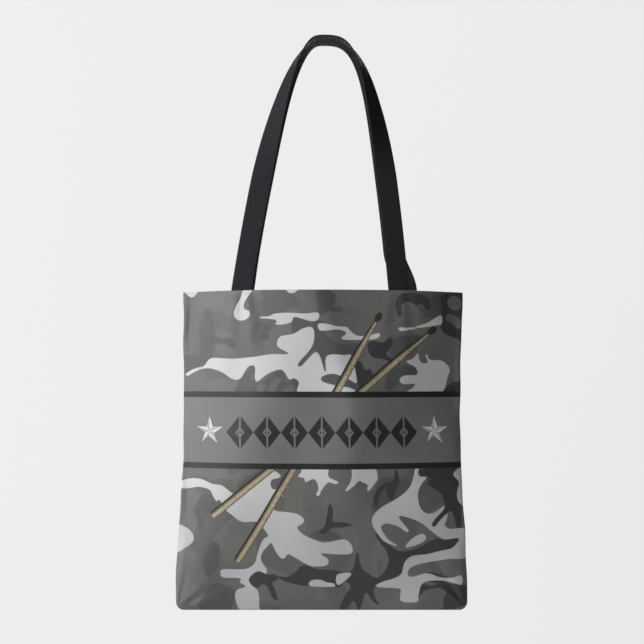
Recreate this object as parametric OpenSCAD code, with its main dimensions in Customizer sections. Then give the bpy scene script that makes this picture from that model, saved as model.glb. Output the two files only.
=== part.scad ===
// Printed cloth tote bag with two webbing handles, drawn as it hangs by its handles.
// The origin is the hanging point under the handles; +Z is up and the front faces -Y.

/* [Bag] */
// Width of the flat bag along its bottom seam
bag_w = 350; // [260:5:450]
// Height of the bag from the bottom seam to the mouth
bag_h = 384; // [300:2:450]
// How much narrower the filled bag is at the waist than at the bottom seam
waist_pinch = 15.6; // [4:0.2:25]
// How far the filled bag bellies out from its middle plane
belly_depth = 38; // [20:1:50]
// Thickness of the cloth
cloth_t = 0.8; // [0.5:0.1:1.2]
// Radius of the two bottom corners
corner_r = 10; // [4:1:20]
// Height of the hem turned in round the mouth
hem_h = 25; // [16:1:36]
// Width of the seam allowances inside the bag
seam_w = 10; // [6:1:14]

/* [Handles] */
// Width of the handle webbing
web_w = 25.4; // [20:0.2:38]
// Thickness of the handle webbing
web_t = 1.8; // [1.2:0.1:2.2]
// Height of the hanging point over the mouth
rise = 302; // [220:2:340]
// Distance between the legs of the front handle
front_spacing = 187.5; // [150:0.5:220]
// How far the front handle is sewn on off centre
front_shift = -2.2; // [-6:0.2:6]
// Distance between the sewn ends of the back handle
back_spacing = 198.5; // [150:0.5:220]
// How far the back handle is sewn on off centre
back_shift = 4; // [-6:0.2:10]
// Length of webbing sewn inside the hem at each end of a handle
sewn_l = 35; // [28:1:50]
// Tilt of the webbing where it lies over its hook
hook_tilt = 6; // [0:1:15]

/* [Stitches] */
// Length of one stitch
stitch_l = 3; // [2:0.5:4]
// Distance from one stitch to the next
stitch_pitch = 4.2; // [3.5:0.1:6]
// Thickness of the thread
thread_t = 0.4; // [0.3:0.1:0.5]

/* [Hidden] */

mouth_z = -rise;
bottom_z = mouth_z - bag_h;
// Gap between two layers of one body
layer_gap = 0.1;
// Half thickness of a seam allowance, which is two layers of cloth
seam_half_t = cloth_t;
// Half thickness of the thread bound over a seam allowance
overlock_half_t = seam_half_t + 0.2;
// How far that thread reaches beyond the edge of the seam allowance
overlock_l = 1.2;
// Distance from the middle plane to the outside of a panel at its seams
seam_depth = overlock_half_t + 0.3 + cloth_t;
// Insets of the layers under the outside of a panel
hem_inset = cloth_t + layer_gap;
web_inset = hem_inset + cloth_t + layer_gap;
thread_inset = web_inset + web_t + layer_gap;
// Grid of the panels
panel_cols = 28;
panel_rows = 22;
// The mouth is a little flatter than the belly
mouth_flat = 0.95;
// How square the outline of the bag is across and down
across_power = 2.6;
down_power = 3;
down_roundness = 0.8;
// Share of the height over which the bag narrows from bottom to waist
pinch_start = 0.4;
// Handle curves: how the left and the right leg spread with the drop below the hook
left_leg_power = 0.5;
right_leg_power = 0.285;
ring_power = 0.6;
handle_rings = 31;
// Drop over which the webbing turns from flat on the hook to flat on the bag
twist_drop = 165;
// The webbing turns fastest just under the hook
twist_power = 0.8;
// Drop at which the back handle leaves the line of the front one for its own sewn ends
foot_drop = 255;
// Distance between the middles of the two handles where they lie side by side on the hook
hook_half_gap = web_w / 2 + 0.6;
// Turn of the webbing at the mouth
base_turn = 77;
cloth_colour = [0.42, 0.43, 0.42];
lining_colour = [0.86, 0.86, 0.84];
web_colour = [0.16, 0.16, 0.18];
thread_colour = [0.25, 0.25, 0.27];

function smooth(from, to, value) =
    let (k = max(0, min(1, (value - from) / (to - from))))
    k * k * (3 - 2 * k);

function unit(v) = v / norm(v);

// How far a bottom corner's rounding cuts in, at a drop below the mouth
function corner_cut(drop) =
    let (e = max(0, min(1, (drop - bag_h + corner_r) / corner_r)))
    corner_r * (1 - sqrt(1 - e * e));

// Half width of the bag at a drop below the mouth
function half_w(drop) =
    (bag_w - waist_pinch * (1 - smooth(pinch_start, 1, drop / bag_h))) / 2 - corner_cut(drop);

// Depth of the bag's middle at a drop below the mouth
function belly(drop) =
    let (s = min(1, drop / bag_h))
    belly_depth * pow(1 - pow(s, down_power), down_roundness)
        * (mouth_flat + (1 - mouth_flat) * smooth(0, 0.4, s));

// Distance from the middle plane to the outside of a panel
function panel_depth(x, drop) =
    seam_depth + belly(drop) * (1 - pow(min(1, abs(x) / half_w(drop)), across_power));

// Turn of the panel's surface about Z
function panel_turn(x, drop) =
    atan((panel_depth(x - 0.5, drop) - panel_depth(x + 0.5, drop)) / 1);

function panel_point(x, drop, inset) = [x, inset - panel_depth(x, drop), mouth_z - drop];

// Two triangles across a quadrilateral
function two(a, b, c, d) = [[a, b, c], [a, c, d]];

// A closed sheet between two grids of points with the same rows and columns
module sheet(outside, inside) {
    rows = len(outside);
    cols = len(outside[0]);
    n = rows * cols;
    skins = [
        for (r = [0:rows - 2], c = [0:cols - 2])
            let (a = r * cols + c, b = a + 1, e = a + cols, f = e + 1)
            each concat(two(a, b, f, e), two(n + a, n + e, n + f, n + b))
    ];
    ends = [
        for (c = [0:cols - 2])
            let (a = c, e = n - cols + c)
            each concat(two(a + 1, a, n + a, n + a + 1), two(e, e + 1, n + e + 1, n + e))
    ];
    sides = [
        for (r = [0:rows - 2])
            let (a = r * cols, e = a + cols - 1)
            each concat(two(a, a + cols, n + a + cols, n + a), two(e + cols, e, n + e, n + e + cols))
    ];
    points = [for (grid = [outside, inside], row = grid) each row];
    polyhedron(points = points, faces = concat(skins, ends, sides));
}

// Drops of the panel's rows, closer together towards the bottom seam
panel_drops = [for (i = [0:panel_rows]) bag_h * (1 - pow(1 - i / panel_rows, 1.6))];

module panel() {
    function grid(inset) = [
        for (drop = panel_drops)
            [for (c = [0:panel_cols]) panel_point((2 * c / panel_cols - 1) * half_w(drop), drop, inset)]
    ];
    sheet(grid(0), grid(cloth_t));
}

module hem() {
    reach = 0.985;
    function grid(inset) = [
        for (drop = [0, hem_h / 2, hem_h])
            [for (c = [0:panel_cols])
                panel_point((2 * c / panel_cols - 1) * reach * half_w(drop), drop, inset)]
    ];
    sheet(grid(hem_inset), grid(hem_inset + cloth_t));
}

// One stitch lying on the panel at an inset, turned in its surface
module stitch(x, drop, inset, turn) {
    translate(panel_point(x, drop, inset))
        rotate([0, 0, panel_turn(x, drop)])
            rotate([0, turn, 0])
                cube([stitch_l, thread_t, thread_t], center = true);
}

module hem_stitching() {
    row_drop = hem_h - 2;
    count = floor((2 * half_w(row_drop) - seam_w) / stitch_pitch);
    for (i = [0:count - 1])
        stitch((i - (count - 1) / 2) * stitch_pitch, row_drop, -thread_t / 2 - layer_gap, 0);
}

module handle_end(x) {
    function grid(inset) = [
        for (drop = [layer_gap, sewn_l / 2, sewn_l])
            [for (c = [-2:2]) panel_point(x + c * web_w / 4, drop, inset)]
    ];
    sheet(grid(web_inset), grid(web_inset + web_t));
}

// A line of stitches between two places on the webbing, each given as [across, drop]
module stitch_line(x, from, to) {
    run = to - from;
    count = floor(norm(run) / stitch_pitch);
    for (i = [0:count - 1])
        let (place = from + run * (i + 0.5) / count)
            stitch(x + place[0], place[1], thread_inset + thread_t / 2, atan2(run[1], run[0]));
}

// A box with a cross in it, sewn through the end of a handle
module tack(x) {
    half = web_w / 2 - 2.5;
    top = 4;
    low = sewn_l - 3;
    corners = [[-half, top], [half, top], [half, low], [-half, low]];
    for (i = [0:3])
        stitch_line(x, corners[i], corners[(i + 1) % 4]);
    stitch_line(x, corners[0], corners[2]);
    stitch_line(x, corners[3], corners[1]);
}

// A strip in the middle plane beside the side seam, between two distances from the edge
module side_strip(outer, inner, half_t) {
    drops = [for (drop = panel_drops) if (drop < bag_h - seam_w - 1) drop];
    function grid(y) = [
        for (drop = drops)
            [[half_w(drop) - inner, y, mouth_z - drop], [half_w(drop) - outer, y, mouth_z - drop]]
    ];
    sheet(grid(-half_t), grid(half_t));
}

module bottom_strip(low, high, half_t) {
    half = half_w(bag_h - low);
    translate([-half, -half_t, bottom_z + low])
        cube([2 * half, 2 * half_t, high - low]);
}

module left_side_seam() color(lining_colour) mirror([1, 0, 0]) side_strip(0, seam_w, seam_half_t);
module right_side_seam() color(lining_colour) side_strip(0, seam_w, seam_half_t);
module bottom_seam() color(lining_colour) bottom_strip(0.5, seam_w, seam_half_t);

module right_overlock() color(thread_colour)
    side_strip(seam_w + layer_gap, seam_w + overlock_l, overlock_half_t);
module left_overlock() color(thread_colour)
    mirror([1, 0, 0]) side_strip(seam_w + layer_gap, seam_w + overlock_l, overlock_half_t);
module bottom_overlock() color(thread_colour)
    translate([-half_w(bag_h / 2) + 2 * seam_w, -overlock_half_t, bottom_z + seam_w + layer_gap])
        cube([2 * half_w(bag_h / 2) - 4 * seam_w, 2 * overlock_half_t, overlock_l]);

module front_panel() color(cloth_colour) panel();
module front_hem() color(lining_colour) hem();
module front_hem_stitching() color(thread_colour) hem_stitching();
module front_left_handle_end() color(web_colour) handle_end(front_shift - front_spacing / 2);
module front_right_handle_end() color(web_colour) handle_end(front_shift + front_spacing / 2);
module front_left_tack() color(thread_colour) tack(front_shift - front_spacing / 2);
module front_right_tack() color(thread_colour) tack(front_shift + front_spacing / 2);

module backwards() mirror([0, 1, 0]) children();

module back_panel() color(cloth_colour) backwards() panel();
module back_hem() color(lining_colour) backwards() hem();
module back_hem_stitching() color(thread_colour) backwards() hem_stitching();
module back_left_handle_end() color(web_colour) backwards() handle_end(back_shift - back_spacing / 2);
module back_right_handle_end() color(web_colour) backwards() handle_end(back_shift + back_spacing / 2);
module back_left_tack() color(thread_colour) backwards() tack(back_shift - back_spacing / 2);
module back_right_tack() color(thread_colour) backwards() tack(back_shift + back_spacing / 2);

// A handle: webbing that lies over the hook, and turns as it drops to face out from the bag.
// facing is -1 for the front handle and 1 for the back one. Both hang in one line, and their
// feet move over to their own sewn ends.
module handle(facing, spacing, shift) {
    leg_x = front_spacing / 2;
    // The leg starts just above the end that is sewn to the bag
    leg_gap = 0.4;
    leg_rise = rise - leg_gap;

    function middle(r) =
        let (a = abs(r), leg_power = r < 0 ? left_leg_power : right_leg_power)
        let (drop = leg_rise * pow(a, ring_power / leg_power))
        let (rest = 1 - smooth(0, twist_drop / 2, drop))
        let (foot_x = shift + sign(r) * spacing / 2, step = foot_x - front_shift - sign(r) * leg_x)
        let (foot_y = panel_depth(foot_x, 0) - web_inset - web_t / 2)
        [
            front_shift + sign(r) * leg_x * pow(a, ring_power) + step * smooth(foot_drop, rise, drop),
            facing * (hook_half_gap + (foot_y - hook_half_gap) * drop / rise),
            -drop + web_t / 2 - facing * hook_half_gap * tan(hook_tilt) * rest
        ];

    // Corners of the webbing at one ring, on its outer or its inner face.
    // The feet of the legs are level, along the mouth.
    function ring(r, side) =
        let (along = abs(r) == 1 ? [0, 0, -r] : unit(middle(r + 0.01) - middle(r - 0.01)))
        let (outward = unit([-along[2], 0, along[0]]))
        let (back = cross(outward, along))
        let (twist = pow(max(0, min(1, -middle(r)[2] / twist_drop)), twist_power))
        let (turn = hook_tilt + (facing * base_turn - hook_tilt) * twist)
        let (face = cos(turn) * outward + sin(turn) * back)
        let (across = cross(face, along))
        [for (edge = [-0.5, 0.5]) middle(r) + face * side * web_t / 2 + across * edge * web_w];

    function grid(side) = [for (i = [-handle_rings:handle_rings]) ring(i / handle_rings, side)];

    color(web_colour) sheet(grid(1), grid(-1));
}

module front_handle() handle(-1, front_spacing, front_shift);
module back_handle() handle(1, back_spacing, back_shift);

left_side_seam();
right_side_seam();
bottom_seam();
left_overlock();
right_overlock();
bottom_overlock();
front_panel();
front_hem();
front_hem_stitching();
front_left_handle_end();
front_right_handle_end();
front_left_tack();
front_right_tack();
back_panel();
back_hem();
back_hem_stitching();
back_left_handle_end();
back_right_handle_end();
back_left_tack();
back_right_tack();
front_handle();
back_handle();
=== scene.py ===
"""A printed cloth tote bag that hangs by its two webbing handles, in metres, in the CAD frame."""
import math

import bpy
import numpy as np
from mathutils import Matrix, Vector


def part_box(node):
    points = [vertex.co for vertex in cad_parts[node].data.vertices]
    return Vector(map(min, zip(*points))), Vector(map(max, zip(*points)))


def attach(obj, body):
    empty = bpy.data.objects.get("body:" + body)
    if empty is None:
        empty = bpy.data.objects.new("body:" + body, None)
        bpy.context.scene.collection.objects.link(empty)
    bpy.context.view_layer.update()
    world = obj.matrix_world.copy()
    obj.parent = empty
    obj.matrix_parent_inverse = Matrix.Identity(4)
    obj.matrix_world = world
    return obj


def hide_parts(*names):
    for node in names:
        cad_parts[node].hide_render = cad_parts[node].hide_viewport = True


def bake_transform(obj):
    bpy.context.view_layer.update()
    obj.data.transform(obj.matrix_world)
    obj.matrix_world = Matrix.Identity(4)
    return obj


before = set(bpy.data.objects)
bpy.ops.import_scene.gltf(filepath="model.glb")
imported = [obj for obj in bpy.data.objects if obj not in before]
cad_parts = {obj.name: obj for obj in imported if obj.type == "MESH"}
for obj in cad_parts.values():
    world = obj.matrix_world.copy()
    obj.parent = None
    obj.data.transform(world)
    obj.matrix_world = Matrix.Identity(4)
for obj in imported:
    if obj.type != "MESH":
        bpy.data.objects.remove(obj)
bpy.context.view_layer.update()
MM = 0.001

# ---------------------------------------------------------------- sizes, from the frame

panel_low, panel_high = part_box("front_panel")
web_low, web_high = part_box("front_left_handle_end")
MOUTH_Z = panel_high.z
BAG_H = panel_high.z - panel_low.z
BAG_W = panel_high.x - panel_low.x
WEB_W = web_high.x - web_low.x
SEWN_L = web_high.z - web_low.z
HEM_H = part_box("front_hem")[1].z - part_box("front_hem")[0].z
STITCH_Z = sum(v.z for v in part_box("front_hem_stitching")) / 2
SEAM_BASE = abs(panel_high.y)
BELLY = -panel_low.y - SEAM_BASE
WAIST_PINCH = 15.6 * MM
CORNER_R = 10 * MM
WEB_T = 1.8 * MM
CLOTH_T = 0.7 * MM
HOOK_TILT = math.radians(6)
BASE_TURN = math.radians(77)
TWIST_DROP = 165 * MM
TWIST_POWER = 0.8


def smooth(low, high, value):
    k = np.clip((value - low) / (high - low), 0, 1)
    return k * k * (3 - 2 * k)


# ---------------------------------------------------------------- camera, lights and stage

CAMERA_DISTANCE = 2.6
VIEW_W = 0.777
VIEW_Z = -0.339


def make_camera():
    data = bpy.data.cameras.new("camera")
    data.sensor_width = 36
    data.lens = data.sensor_width * CAMERA_DISTANCE / VIEW_W
    camera = bpy.data.objects.new("camera", data)
    bpy.context.collection.objects.link(camera)
    camera.location = (0, -CAMERA_DISTANCE, VIEW_Z)
    camera.rotation_euler = (math.pi / 2, 0, 0)
    bpy.context.scene.camera = camera


def make_area_light(name, place, target, size, power):
    data = bpy.data.lights.new(name, "AREA")
    data.shape = "RECTANGLE"
    data.size, data.size_y = size
    data.energy = power
    light = bpy.data.objects.new(name, data)
    bpy.context.collection.objects.link(light)
    light.location = place
    direction = Vector(target) - Vector(place)
    light.rotation_euler = direction.to_track_quat("-Z", "Y").to_euler()


def make_world(dim, bright, towards):
    """A studio that is dim on one side and bright on the other, as if by a wall of soft boxes."""
    world = bpy.data.worlds.new("studio")
    world.use_nodes = True
    nodes, links = world.node_tree.nodes, world.node_tree.links
    direction = nodes.new("ShaderNodeTexCoord")
    facing = nodes.new("ShaderNodeVectorMath")
    facing.operation = "DOT_PRODUCT"
    facing.inputs[1].default_value = Vector(towards).normalized()
    ramp = nodes.new("ShaderNodeMapRange")
    ramp.interpolation_type = "SMOOTHSTEP"
    ramp.inputs["From Min"].default_value = 0.15
    ramp.inputs["From Max"].default_value = 1.0
    ramp.inputs["To Min"].default_value = dim
    ramp.inputs["To Max"].default_value = bright
    background = nodes["Background"]
    background.inputs["Color"].default_value = (1, 1, 1, 1)
    links.new(direction.outputs["Generated"], facing.inputs[0])
    links.new(facing.outputs["Value"], ramp.inputs["Value"])
    links.new(ramp.outputs["Result"], background.inputs["Strength"])
    bpy.context.scene.world = world


def make_stage_plane(name, corners, colour, glow, lights_others):
    """A pale sheet of floor or backdrop, seen through from its back, for views from behind.

    A sheet that doesn't light others neither lights nor shades the bag, whose sides keep their shade.
    """
    mesh = bpy.data.meshes.new(name)
    mesh.from_pydata(corners, [], [(0, 1, 2, 3)])
    plane = bpy.data.objects.new(name, mesh)
    bpy.context.collection.objects.link(plane)
    material = bpy.data.materials.new(name)
    material.use_nodes = True
    nodes, links = material.node_tree.nodes, material.node_tree.links
    shader = nodes["Principled BSDF"]
    shader.inputs["Base Color"].default_value = colour
    shader.inputs["Roughness"].default_value = 0.9
    shader.inputs["Specular IOR Level"].default_value = 0.0
    shader.inputs["Emission Color"].default_value = colour
    shader.inputs["Emission Strength"].default_value = glow
    clear = nodes.new("ShaderNodeBsdfTransparent")
    mix = nodes.new("ShaderNodeMixShader")
    side = nodes.new("ShaderNodeNewGeometry")
    links.new(side.outputs["Backfacing"], mix.inputs["Fac"])
    links.new(shader.outputs[0], mix.inputs[1])
    links.new(clear.outputs[0], mix.inputs[2])
    links.new(mix.outputs[0], nodes["Material Output"].inputs["Surface"])
    mesh.materials.append(material)
    plane.visible_diffuse = plane.visible_glossy = plane.visible_shadow = lights_others


def make_stage():
    """A floor under the hanging bag, and a backdrop behind it that the handles swing clear of."""
    reach, floor_z, wall_y = 20.0, MOUTH_Z - BAG_H - 0.16, 0.42
    wall = [(-reach, floor_z), (reach, floor_z), (reach, reach), (-reach, reach)]
    floor = [(-reach, -reach), (reach, -reach), (reach, reach), (-reach, reach)]
    wall = [(x, wall_y, z) for x, z in wall]
    floor = [(x, y, floor_z) for x, y in floor]
    make_stage_plane("backdrop", wall, (0.09, 0.09, 0.0893, 1), 8.6, False)
    make_stage_plane("floor", floor, (0.55, 0.55, 0.545, 1), 0.15, True)


make_camera()
make_world(0.03, 0.95, (-1.0, -0.4, 0.25))
make_area_light("key", (-2.0, -1.2, 0.25), (0, 0, -0.45), (0.9, 1.6), 50)
make_area_light("back fill", (0.1, 2.2, 0.3), (0, 0, -0.45), (1.4, 1.4), 22)
make_stage()
bpy.context.scene.view_settings.view_transform = "Standard"

# ---------------------------------------------------------------- the shape of the bag


def corner_cut(drop):
    """How far the rounded bottom corners come in."""
    e = np.clip((drop - BAG_H + CORNER_R) / CORNER_R, 0, 1)
    return CORNER_R * (1 - np.sqrt(1 - e * e))


def half_width(drop):
    """Half the width of the filled bag, at a drop below the mouth."""
    pinch = WAIST_PINCH * (1 - smooth(0.4, 1, drop / BAG_H))
    return (BAG_W - pinch) / 2 - corner_cut(drop)


def belly(drop):
    """How far the filled bag stands out in the middle, at a drop below the mouth."""
    s = np.clip(drop / BAG_H, 0, 1)
    return BELLY * (1 - s ** 3) ** 0.8 * (0.95 + 0.05 * smooth(0, 0.4, s))


BELLY_SHARE, ACROSS_POWER = 0.94, 2.5
# The cloth rolls over at the seams, from one lift over the middle plane to another
ROLL, ROLL_LOW, ROLL_TRIM = 3 * MM, 0.45 * MM, 0.8 * MM
# A soft ridge runs down the front, from the middle of the mouth to the right of the middle
RIDGE_TOP_X = -5 * MM
RIDGE_LOW_X = 33 * MM
RIDGE_LOW_DROP = 140 * MM
RIDGE_RISE = 10 * MM
RIDGE_REACH_LEFT, RIDGE_REACH_RIGHT = 120 * MM, 46 * MM
RIDGE_ROUND = 8 * MM
# How much of the ridge the front has, which faces -y, and the back, where it runs to the other side
RIDGE = {-1: 1.0, 1: -0.5}


def depth(x, drop, facing):
    """Distance from the middle plane to the middle of the cloth of a panel."""
    ridge = RIDGE[facing]
    half = visible_half(drop)
    t = np.clip(np.abs(x - seam_shift(drop)) / half, 0, 1)
    edge = np.minimum(half * (1 - t), BAG_H - drop)
    turned = np.clip(edge / ROLL, 0, 1)
    seam = ROLL_LOW + (SEAM_BASE - ROLL_TRIM) * np.sqrt(1 - (1 - turned) ** 2)
    off = x - ridge * (RIDGE_TOP_X + (RIDGE_LOW_X - RIDGE_TOP_X) * np.clip(drop / RIDGE_LOW_DROP, 0, 1))
    past = 0.5 + 0.5 * np.tanh(np.sign(ridge) * off / RIDGE_ROUND)
    reach = RIDGE_REACH_LEFT + (RIDGE_REACH_RIGHT - RIDGE_REACH_LEFT) * past
    off = np.sqrt(off ** 2 + RIDGE_ROUND ** 2) - RIDGE_ROUND
    rise = RIDGE_RISE * abs(ridge) * np.exp(-off / reach) * (1 - smooth(0.35, 0.8, drop / BAG_H))
    middle = (BELLY_SHARE * belly(drop) + rise) * (1 - t ** ACROSS_POWER)
    return seam + middle + folds(x, drop, ridge) * smooth(0, 8 * MM, edge)


# Broad unevenness of the cloth: (height, waves across, waves down, phase), waves over the bag's size
UNEVEN = [
    (0.9 * MM, 2.3, 0.8, 0.4), (0.7 * MM, -1.4, 2.1, 2.0), (0.5 * MM, 3.1, 1.7, 4.1),
    (0.35 * MM, 4.3, -2.9, 1.2), (0.25 * MM, -2.2, 5.3, 3.3),
]
PUCKER, PUCKER_REACH = 1.5 * MM, 38 * MM
DRAG, DRAG_REACH, DRAG_W, DRAG_SPREAD = 0.8 * MM, 90 * MM, 9 * MM, 0.22
HANDLE_X = 95 * MM
DENT, DENT_AT, DENT_W = 1.6 * MM, 26 * MM, 11 * MM


def folds(x, drop, ridge):
    """Puckers at the bottom corners, drags under the handles, dents at the mouth's corners, unevenness."""
    across, down = 2 * math.pi * x / BAG_W, 2 * math.pi * drop / BAG_H
    height = sum(h * np.sin(u * across + v * down + phase + 3 * ridge) for h, u, v, phase in UNEVEN)
    for side in (-1, 1):
        inward, up = BAG_W / 2 - side * x, BAG_H - drop
        reach = np.hypot(inward, up)
        angle = np.arctan2(up, np.maximum(inward, 0.1 * MM))
        rays = np.sin(9 * angle + side + ridge) + 0.6 * np.sin(16 * angle + 2 * ridge)
        height = height + PUCKER * rays * smooth(2 * MM, 20 * MM, reach) * np.exp(-reach / PUCKER_REACH)
        spread = (x - side * HANDLE_X) / (DRAG_W + DRAG_SPREAD * drop)
        drag = np.sin(4.2 * spread + side) * np.exp(-spread ** 2 / 1.6)
        height = height + DRAG * drag * smooth(0, 12 * MM, drop) * np.exp(-drop / DRAG_REACH)
        corner = np.hypot(inward, drop * 0.6)
        height = height - DENT * np.exp(-((corner - DENT_AT) / DENT_W) ** 2)
    return height


def visible_half(drop):
    """The hanging cloth flares a little towards the mouth's corners, and its seams are not quite straight."""
    flare = 0.9 * MM - 1.6 * MM * smooth(0, 0.3, drop / BAG_H) * (1 - smooth(0.5, 0.9, drop / BAG_H))
    return half_width(drop) + flare + 0.25 * MM * np.sin(drop / (9 * MM) + 1)


def seam_shift(drop):
    """The whole mouth hangs a little to the right of the bottom."""
    lean = 1.1 * MM * (1 - smooth(0, 0.3, drop / BAG_H)) - 0.7 * MM * smooth(0.5, 1, drop / BAG_H)
    return lean + 0.3 * MM * np.sin(drop / (14 * MM))


def droop(x, drop):
    """How far the mouth's corners hang below its middle."""
    t = np.clip(np.abs(x) / half_width(drop), 0, 1)
    return (3.0 * MM * t ** 2.5 - 1.2 * MM) * (1 - smooth(0, 0.5, drop / BAG_H))


# Flat cloth: across from side seam to side seam, and down from the end of the turned-in hem
LAYER = 0.95 * MM
FOLD_R = LAYER / 2
GRID = 2.5 * MM
# Closer rows and columns at the edges, where the cloth rolls over: their distances from the edge
EDGE_STEPS = np.array([0, 0.4, 1, 1.8, 2.8, 4]) * MM
EDGE_W = 5.5 * MM


def flat_columns():
    half = BAG_W / 2
    edge = half - EDGE_STEPS
    inner = np.linspace(-(half - EDGE_W), half - EDGE_W, round((BAG_W - 2 * EDGE_W) / GRID) + 1)
    return np.concatenate([-edge, inner, edge[::-1]])


def flat_rows():
    """Rows as (drop below the mouth, how far they are folded in, drop on the print)."""
    rows = [(drop, 1.0, -drop - math.pi * FOLD_R) for drop in np.linspace(HEM_H, FOLD_R, 9)]
    for i in range(1, 6):
        angle = math.pi * (1 - i / 6)
        rows.append((FOLD_R * (1 - math.sin(angle)), (1 - math.cos(angle)) / 2, -angle * FOLD_R))
    rows += [(drop, 0.0, drop) for drop in np.linspace(FOLD_R, BAG_H - EDGE_W, round(BAG_H / GRID))]
    return rows + [(drop, 0.0, drop) for drop in BAG_H - EDGE_STEPS[::-1]]


def panel_grid(facing):
    """The panel's points in rows and columns, and each point's place on the flat cloth."""
    columns, rows = flat_columns(), flat_rows()
    points = np.zeros((len(rows), len(columns), 3))
    cloth = np.zeros((len(rows), len(columns), 2))
    for i, (drop, folded, print_drop) in enumerate(rows):
        x = seam_shift(drop) + columns / (BAG_W / 2) * visible_half(drop)
        y = depth(x, drop, facing) - folded * LAYER
        points[i] = np.stack([x, facing * np.maximum(y, 0.1 * MM), MOUTH_Z - drop - droop(x, drop)], 1)
        cloth[i] = np.stack([columns, np.full(len(columns), print_drop)], 1)
    return points, cloth


# ---------------------------------------------------------------- mesh helpers


def unit(vectors):
    return vectors / np.linalg.norm(vectors, axis=1)[:, None]


def make_object(name, points, faces, materials):
    """A smooth-shaded piece from its vertices and faces."""
    mesh = bpy.data.meshes.new(name)
    mesh.from_pydata([tuple(p) for p in points], [], faces)
    mesh.validate()
    for material in materials:
        mesh.materials.append(material)
    mesh.polygons.foreach_set("use_smooth", [True] * len(mesh.polygons))
    mesh.update()
    piece = bpy.data.objects.new(name, mesh)
    bpy.context.collection.objects.link(piece)
    return piece


def end_caps(rows, cols):
    """Faces that close both ends of a run of closed rows."""
    return [tuple(range(cols)), tuple(reversed(range((rows - 1) * cols, rows * cols)))]


def grid_faces(rows, cols, closed=False, flip=False):
    """Faces between rows of points. Closed rows join up, as round a tube."""
    faces = []
    for r in range(rows - 1):
        for c in range(cols if closed else cols - 1):
            d = (c + 1) % cols
            face = (r * cols + c, (r + 1) * cols + c, (r + 1) * cols + d, r * cols + d)
            faces.append(face[::-1] if flip else face)
    return faces


def set_uv(mesh, name, per_point):
    """A UV map from one pair of numbers per vertex."""
    layer = mesh.uv_layers.new(name=name)
    corners = np.zeros(len(mesh.loops), np.int32)
    mesh.loops.foreach_get("vertex_index", corners)
    layer.data.foreach_set("uv", np.asarray(per_point, np.float32)[corners].ravel())


def set_floats(mesh, name, values):
    attribute = mesh.attributes.new(name, "FLOAT", "POINT")
    attribute.data.foreach_set("value", np.asarray(values, np.float32).ravel())


def bend_with_panel(piece):
    """Bakes the piece's transform into its mesh."""
    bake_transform(piece)


# ---------------------------------------------------------------- the print: outlines in mm

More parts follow.
